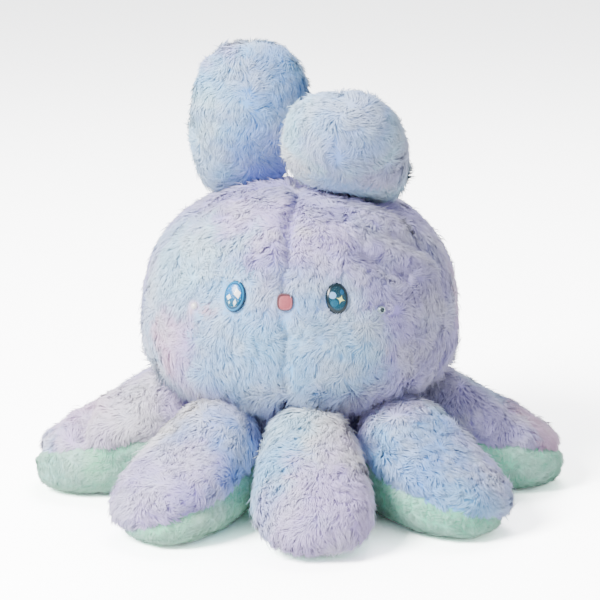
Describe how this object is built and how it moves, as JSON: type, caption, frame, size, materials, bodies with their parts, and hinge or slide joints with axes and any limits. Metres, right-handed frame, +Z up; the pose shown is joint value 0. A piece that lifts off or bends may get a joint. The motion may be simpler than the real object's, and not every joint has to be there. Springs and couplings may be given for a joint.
{
  "type": "stuffed octopus toy",
  "caption": "Plush octopus with a domed head, sewn-on paddle arms, one upright and one folded ear, oval safety eyes, an embroidered mouth and cheek beads",
  "frame": {"origin": "on the surface that the toy sits on, under the middle of its head", "axes": "+Z up, -Y towards the front arm and the face, +X to the viewer's right"},
  "size_m": [0.4425, 0.4426, 0.3698],
  "materials": {
    "tie_dye_fur": "matte",
    "ear_fur": "matte",
    "mint_plush": "matte",
    "polyester_fill": "matte",
    "iris_plastic": "gloss",
    "lens_plastic": "gloss",
    "mouth_thread": "matte",
    "pearl_plastic": "gloss",
    "washer_plastic": "satin"
  },
  "bodies": {
    "head": {"head_front_left": "tie_dye_fur", "head_front_right": "tie_dye_fur", "head_back_left": "tie_dye_fur", "head_back_right": "tie_dye_fur", "head_base": "mint_plush", "head_stuffing": "polyester_fill", "left_eye_lens": "lens_plastic", "left_eye_plate": "iris_plastic", "left_eye_washer": "washer_plastic", "left_cheek_bead": "pearl_plastic", "left_bead_washer": "washer_plastic", "right_eye_lens": "lens_plastic", "right_eye_plate": "iris_plastic", "right_eye_washer": "washer_plastic", "right_cheek_bead": "pearl_plastic", "right_bead_washer": "washer_plastic", "mouth_pad": "mouth_thread"},
    "arm_front": {"arm_front_top": "tie_dye_fur", "arm_front_underside": "mint_plush", "arm_front_stuffing": "polyester_fill"},
    "arm_right_front": {"arm_right_front_top": "tie_dye_fur", "arm_right_front_underside": "mint_plush", "arm_right_front_stuffing": "polyester_fill"},
    "arm_right": {"arm_right_top": "tie_dye_fur", "arm_right_underside": "mint_plush", "arm_right_stuffing": "polyester_fill"},
    "arm_right_back": {"arm_right_back_top": "tie_dye_fur", "arm_right_back_underside": "mint_plush", "arm_right_back_stuffing": "polyester_fill"},
    "arm_back": {"arm_back_top": "tie_dye_fur", "arm_back_underside": "mint_plush", "arm_back_stuffing": "polyester_fill"},
    "arm_left_back": {"arm_left_back_top": "tie_dye_fur", "arm_left_back_underside": "mint_plush", "arm_left_back_stuffing": "polyester_fill"},
    "arm_left": {"arm_left_top": "tie_dye_fur", "arm_left_underside": "mint_plush", "arm_left_stuffing": "polyester_fill"},
    "arm_left_front": {"arm_left_front_top": "tie_dye_fur", "arm_left_front_underside": "mint_plush", "arm_left_front_stuffing": "polyester_fill"},
    "left_ear": {"left_ear_front": "ear_fur", "left_ear_back": "ear_fur", "left_ear_stuffing": "polyester_fill"},
    "right_ear": {"right_ear_front": "ear_fur", "right_ear_back": "ear_fur", "right_ear_stuffing": "polyester_fill"}
  },
  "joints": [
    {"name": "arm_front_lift", "type": "hinge", "parent": "head", "child": "arm_front", "pos_m": [0.00516, -0.08434, 0.048], "axis": [-0.9981, -0.061, 0], "range_deg": [0, 18], "stiffness_Nm_per_rad": 0.1},
    {"name": "arm_right_front_lift", "type": "hinge", "parent": "head", "child": "arm_right_front", "pos_m": [0.05763, -0.0618, 0.048], "axis": [-0.7314, -0.682, 0], "range_deg": [0, 18], "stiffness_Nm_per_rad": 0.1},
    {"name": "arm_right_lift", "type": "hinge", "parent": "head", "child": "arm_right", "pos_m": [0.0845, 0, 0.048], "axis": [0, -1, 0], "range_deg": [0, 18], "stiffness_Nm_per_rad": 0.1},
    {"name": "arm_right_back_lift", "type": "hinge", "parent": "head", "child": "arm_right_back", "pos_m": [0.05975, 0.05975, 0.048], "axis": [0.7071, -0.7071, 0], "range_deg": [0, 18], "stiffness_Nm_per_rad": 0.1},
    {"name": "arm_back_lift", "type": "hinge", "parent": "head", "child": "arm_back", "pos_m": [0, 0.0845, 0.048], "axis": [1, 0, 0], "range_deg": [0, 18], "stiffness_Nm_per_rad": 0.1},
    {"name": "arm_left_back_lift", "type": "hinge", "parent": "head", "child": "arm_left_back", "pos_m": [-0.06078, 0.0587, 0.048], "axis": [0.6947, 0.7193, 0], "range_deg": [0, 18], "stiffness_Nm_per_rad": 0.1},
    {"name": "arm_left_lift", "type": "hinge", "parent": "head", "child": "arm_left", "pos_m": [-0.08429, -0.00589, 0.048], "axis": [-0.0698, 0.9976, 0], "range_deg": [0, 18], "stiffness_Nm_per_rad": 0.1},
    {"name": "arm_left_front_lift", "type": "hinge", "parent": "head", "child": "arm_left_front", "pos_m": [-0.04847, -0.06922, 0.048], "axis": [-0.8192, 0.5736, 0], "range_deg": [0, 18], "stiffness_Nm_per_rad": 0.1},
    {"name": "left_ear_bend", "type": "hinge", "parent": "head", "child": "left_ear", "pos_m": [-0.041, 0.026, 0.2509], "axis": [-1, 0, 0], "range_deg": [-4, 40], "stiffness_Nm_per_rad": 0.15},
    {"name": "right_ear_bend", "type": "hinge", "parent": "head", "child": "right_ear", "pos_m": [0.043, -0.002, 0.252], "axis": [-0.9848, 0.1736, 0], "range_deg": [0, 18], "stiffness_Nm_per_rad": 0.15}
  ]
}
